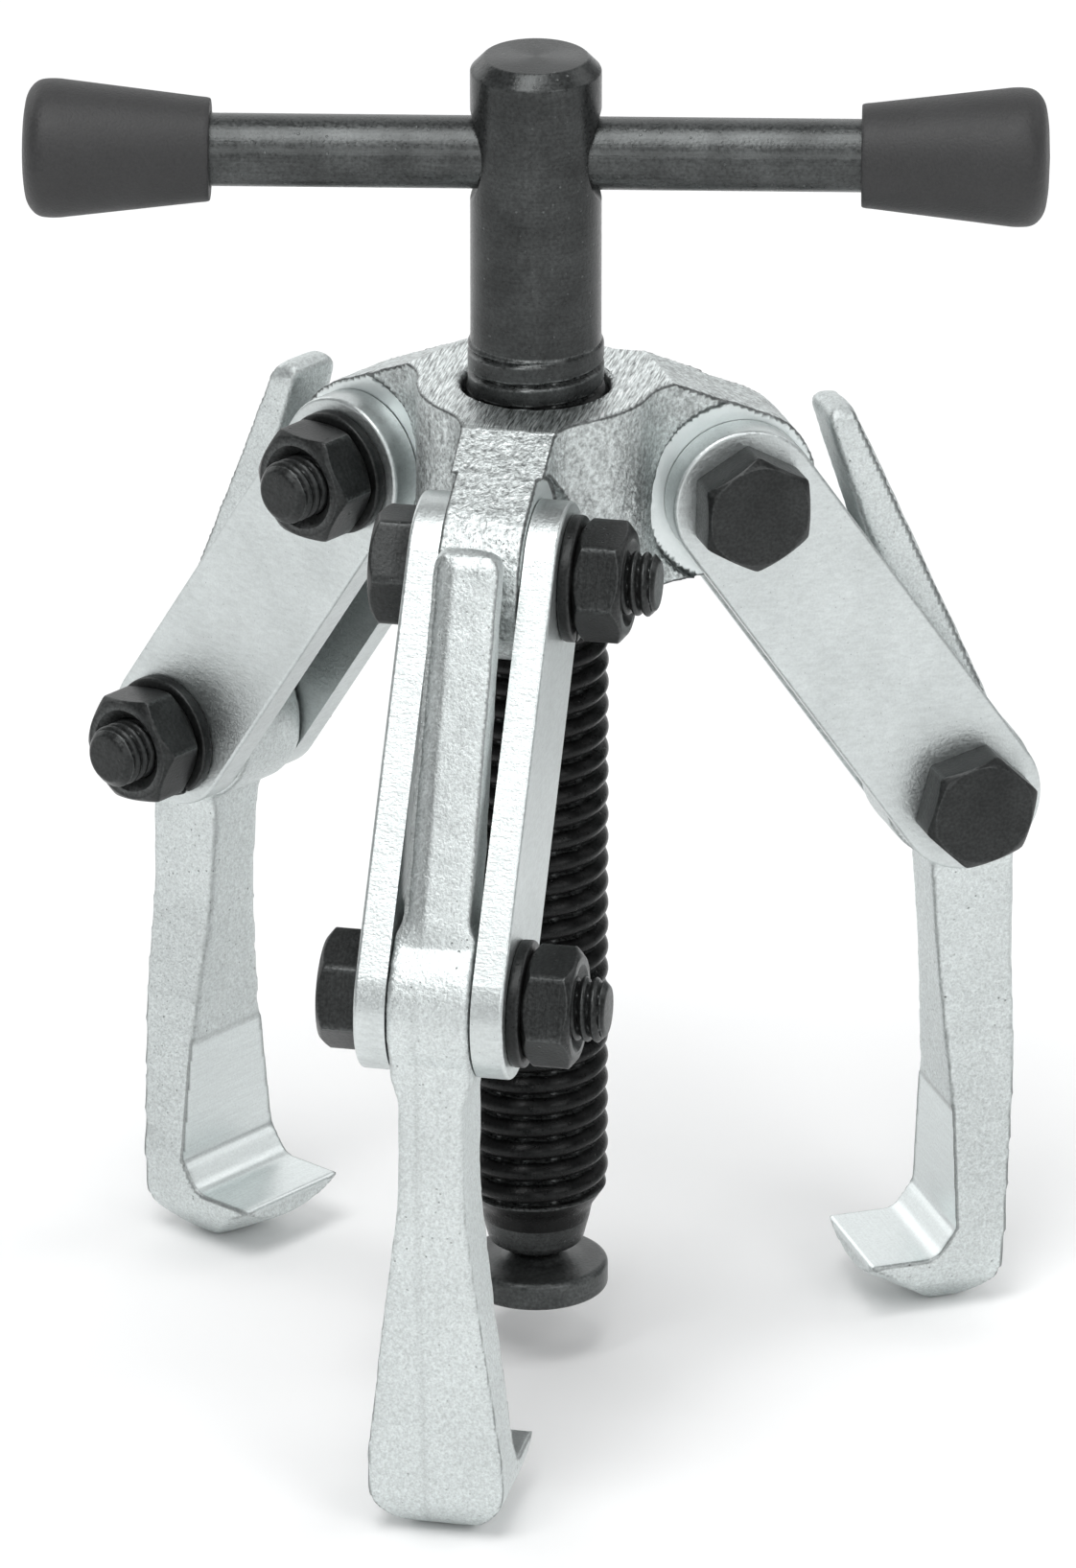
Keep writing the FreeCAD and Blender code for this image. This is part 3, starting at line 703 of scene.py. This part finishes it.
# ---------------------------------------------------------------- fasteners
# Across the flats, points round a ring, and half the stack of two links and the gap between them.
FLATS, SIDES, HALF_STACK = 10.0, 96, 7.0


def hex_radius(angles, turn, softness=55):
    """Radius of a hexagon with slightly rounded corners."""
    total = np.zeros_like(angles)
    for k in range(6):
        facing = np.cos(angles - turn - math.radians(30 + 60 * k))
        total += np.maximum(facing, 0) ** softness
    return FLATS / 2 * total ** (-1 / softness)


def hex_end(angles, turn, z, up, bevel=True):
    """Rings from a hexagon's side over its bevelled end to the flat, going inwards."""
    radius = hex_radius(angles, turn)
    flat, slope = FLATS / 2 * 0.955, 0.70
    drop = np.maximum(radius - flat, 0) * slope if bevel else np.zeros_like(radius)
    edge = 0.10
    rings = [ring(angles, radius, z - up * (drop + 2.2 * edge)),
             ring(angles, radius, z - up * (drop + edge)),
             ring(angles, radius - 0.35 * edge, z - up * (drop + 0.35 * edge)),
             ring(angles, radius - 1.2 * edge, z - up * np.maximum(drop - 0.5 * edge, 0))]
    if bevel:
        middle = (radius - edge + flat) / 2
        rings.append(ring(angles, middle, z - up * np.maximum(middle - flat, 0) * slope))
        rings.append(ring(angles, flat + 0.06, z - up * 0.03))
        rings.append(ring(angles, flat - 0.10, z))
    return rings


def make_bolt(arm, pivot):
    node, placed = f"{arm}_{pivot}_bolt", pivot_frame(arm, pivot)
    points = node_points(node, placed)
    top, tip = points[:, 2].min(), points[:, 2].max()
    under, shank, pitch = -HALF_STACK, 3.0, 1.0
    turn = hexagon_turn(node, placed)
    angles = np.linspace(0, 2 * math.pi, SIDES, endpoint=False)
    rings = [[(0.0, 0.0, top)], ring(angles, 2.4, top)]
    rings += hex_end(angles, turn, top, -1)[::-1]
    rings += hex_end(angles, turn, under, 1, bevel=False)[1:]
    rings += [ring(angles, shank + 0.2, under), ring(angles, shank, under + 0.2)]
    thread_start = tip - 8.0
    rings.append(ring(angles, shank, thread_start))
    for z in np.arange(thread_start + 0.1, tip - 0.05, pitch / 10):
        fade = smoothstep(z, thread_start, thread_start + 1.0)
        taper = shank - np.maximum(z - (tip - 0.75), 0) * 1.0
        rings.append(ring(angles, np.minimum(taper, shank - 0.62 * fade
                                             * thread_drop(angles, z, pitch, 1.0)), z))
    rings += [ring(angles, 2.2, tip - 0.02), ring(angles, 2.0, tip), [(0.0, 0.0, tip)]]
    vertices, faces = ring_grid(rings)
    add_piece(f"{arm}_{pivot}_hex_bolt", vertices, faces, placed, f"arm_{arm}",
              "fastener_black", node, 33)


def make_nut(arm, pivot):
    node, placed = f"{arm}_{pivot}_nut", pivot_frame(arm, pivot)
    points = node_points(node, placed)
    seat, top = points[:, 2].min(), points[:, 2].max()
    bore, turn = 3.06, hexagon_turn(node, placed)
    angles = np.linspace(0, 2 * math.pi, SIDES, endpoint=False)
    rings = hex_end(angles, turn, seat, -1)[::-1] + hex_end(angles, turn, top, 1)
    mouth = 1.0
    rings += [ring(angles, bore + mouth, top), ring(angles, bore, top - mouth),
              ring(angles, bore, seat + mouth), ring(angles, bore + mouth, seat)]
    vertices, faces = ring_grid(rings, closed=True)
    add_piece(f"{arm}_{pivot}_hex_nut", vertices, faces, placed, f"arm_{arm}",
              "fastener_black", node, 33)


def make_washer(arm, pivot):
    """Split spring washer: a rounded strip swept round the bolt, open by a slanting slit."""
    node, placed = f"{arm}_{pivot}_washer", pivot_frame(arm, pivot)
    points = node_points(node, placed)
    seat, top = points[:, 2].min(), points[:, 2].max()
    inner, outer = 3.2, 5.9
    slit = math.radians({"upper": 62, "lower": 118}[pivot])
    corners = [(inner, seat), (outer, seat), (outer, top), (inner, top)]
    loop = corners[-1:] + corners + corners[:1]
    section = eased(loop, 0.32, 4)[1:-1]
    rings = []
    for angle in np.linspace(0.075, 2 * math.pi - 0.075, 90) + slit:
        shear = 0.09
        rings.append([(r * math.cos(angle + shear * (z - seat)),
                       r * math.sin(angle + shear * (z - seat)), z) for r, z in section])
    vertices, faces = ring_grid(rings)
    last = len(vertices) - len(section)
    faces.append(tuple(range(len(section))))
    faces.append(tuple(range(last, len(vertices)))[::-1])
    add_piece(f"{arm}_{pivot}_spring_washer", vertices, faces, placed, f"arm_{arm}",
              "washer_black", node, 50)


for arm in ARMS:
    for pivot in PIVOTS:
        make_bolt(arm, pivot)
        make_nut(arm, pivot)
        make_washer(arm, pivot)


# ---------------------------------------------------------------- CAD nodes that stay
def keep_node(node, slot):
    mesh = frame["nodes"][node].data
    mesh.materials.clear()
    mesh.materials.append(MATERIALS[slot])


keep_node("tommy_bar", "bar_black")
for arm in ARMS:
    for side in ("head", "nut"):
        keep_node(f"{arm}_link_{side}_side", "link_zinc")


# ---------------------------------------------------------------- floor, light, camera
def make_floor():
    size, level = 3.0, CAD_BOX[0][2] - 0.0001
    mesh = bpy.data.meshes.new("floor")
    mesh.from_pydata([(-size, -size, level), (size, -size, level), (size, size, level),
                      (-size, size, level)], [], [(0, 1, 2, 3)])
    s = Shader("floor_paper", Roughness=0.9)
    s.surface.inputs["Base Color"].default_value = (0.97, 0.97, 0.97, 1)
    mesh.materials.append(s.material)
    floor = bpy.data.objects.new("floor", mesh)
    scene.collection.objects.link(floor)


def area_light(name, azimuth, elevation, distance, size, power, target):
    """Soft square light that faces the target from an azimuth (0 is -Y, 90 is +X)."""
    a, e = math.radians(azimuth), math.radians(elevation)
    way = Vector((math.cos(e) * math.sin(a), -math.cos(e) * math.cos(a), math.sin(e)))
    lamp = bpy.data.lights.new(name, "AREA")
    lamp.shape, lamp.size, lamp.energy = "SQUARE", size, power
    holder = bpy.data.objects.new(name, lamp)
    holder.location = target + way * distance
    holder.rotation_euler = way.to_track_quat("Z", "Y").to_euler()
    scene.collection.objects.link(holder)


def make_studio():
    world = bpy.data.worlds.new("studio")
    world.use_nodes = True
    scene.world = world
    sky = world.node_tree.nodes["Background"]
    sky.inputs["Color"].default_value = (0.97, 0.99, 1.0, 1)
    sky.inputs["Strength"].default_value = 0.32
    centre = Vector((0, 0, 0.06))
    area_light("key", -14, 60, 1.9, 0.9, 14.0, centre)
    area_light("rear_right", 122, 36, 2.1, 1.2, 6.0, centre)
    area_light("rear_left", -125, 22, 2.1, 1.2, 7.0, centre)
    area_light("top", 20, 84, 1.9, 0.8, 9.0, centre)
    area_light("fill", 50, 34, 1.9, 0.8, 6.0, centre)
    area_light("low_front", 8, 20, 1.9, 0.7, 4.0, centre)
    area_light("back", 192, 27, 2.3, 2.2, 12.0, centre)
    scene.view_settings.view_transform = "Standard"


def make_camera():
    azimuth, elevation = math.radians(11.97), math.radians(23.05)
    distance, target = 1.489, Vector((0.0002, 0, 0.0515))
    way = Vector((math.cos(elevation) * math.sin(azimuth),
                  -math.cos(elevation) * math.cos(azimuth), math.sin(elevation)))
    lens = bpy.data.cameras.new("camera")
    lens.sensor_width, lens.lens = 36.0, 363.8
    lens.clip_start, lens.clip_end = 0.05, 20.0
    holder = bpy.data.objects.new("camera", lens)
    holder.location = target + way * distance
    holder.rotation_euler = way.to_track_quat("Z", "Y").to_euler()
    scene.collection.objects.link(holder)
    scene.camera = holder


make_floor()
make_studio()
make_camera()
